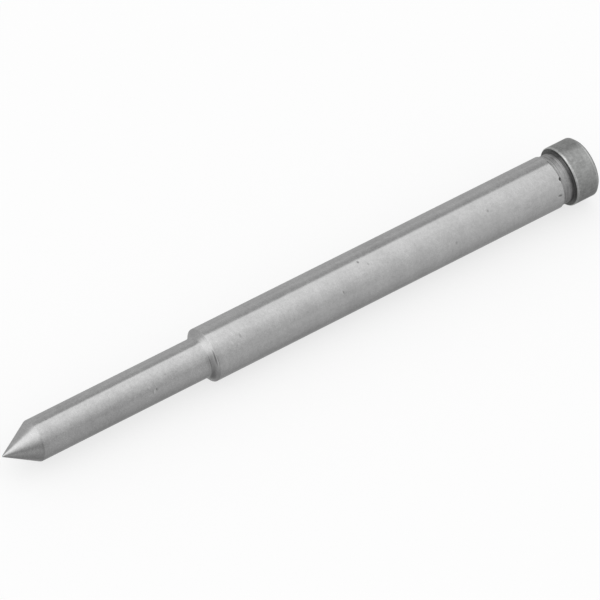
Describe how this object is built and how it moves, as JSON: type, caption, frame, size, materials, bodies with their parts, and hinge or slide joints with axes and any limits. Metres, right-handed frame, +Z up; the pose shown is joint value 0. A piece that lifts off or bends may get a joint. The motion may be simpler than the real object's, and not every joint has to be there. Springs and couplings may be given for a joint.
{
  "type": "stepped pilot pin",
  "caption": "Stepped, headed steel pilot pin with a conical point, for centring and ejecting the slug in an annular cutter.",
  "frame": {"origin": "centre of the head's rear face, on the pin's axis", "axes": "X along the pin's axis, +X out of the head's rear face, -X towards the point; +Z up with the pin lying on its side"},
  "size_m": [0.0984, 0.009, 0.009],
  "materials": {
    "ground_steel": "hardened steel with fine circumferential grinding marks; the neck and the head are as turned, duller and darker"
  },
  "bodies": {
    "root": {"pilot_pin": "ground_steel"}
  },
  "joints": []
}
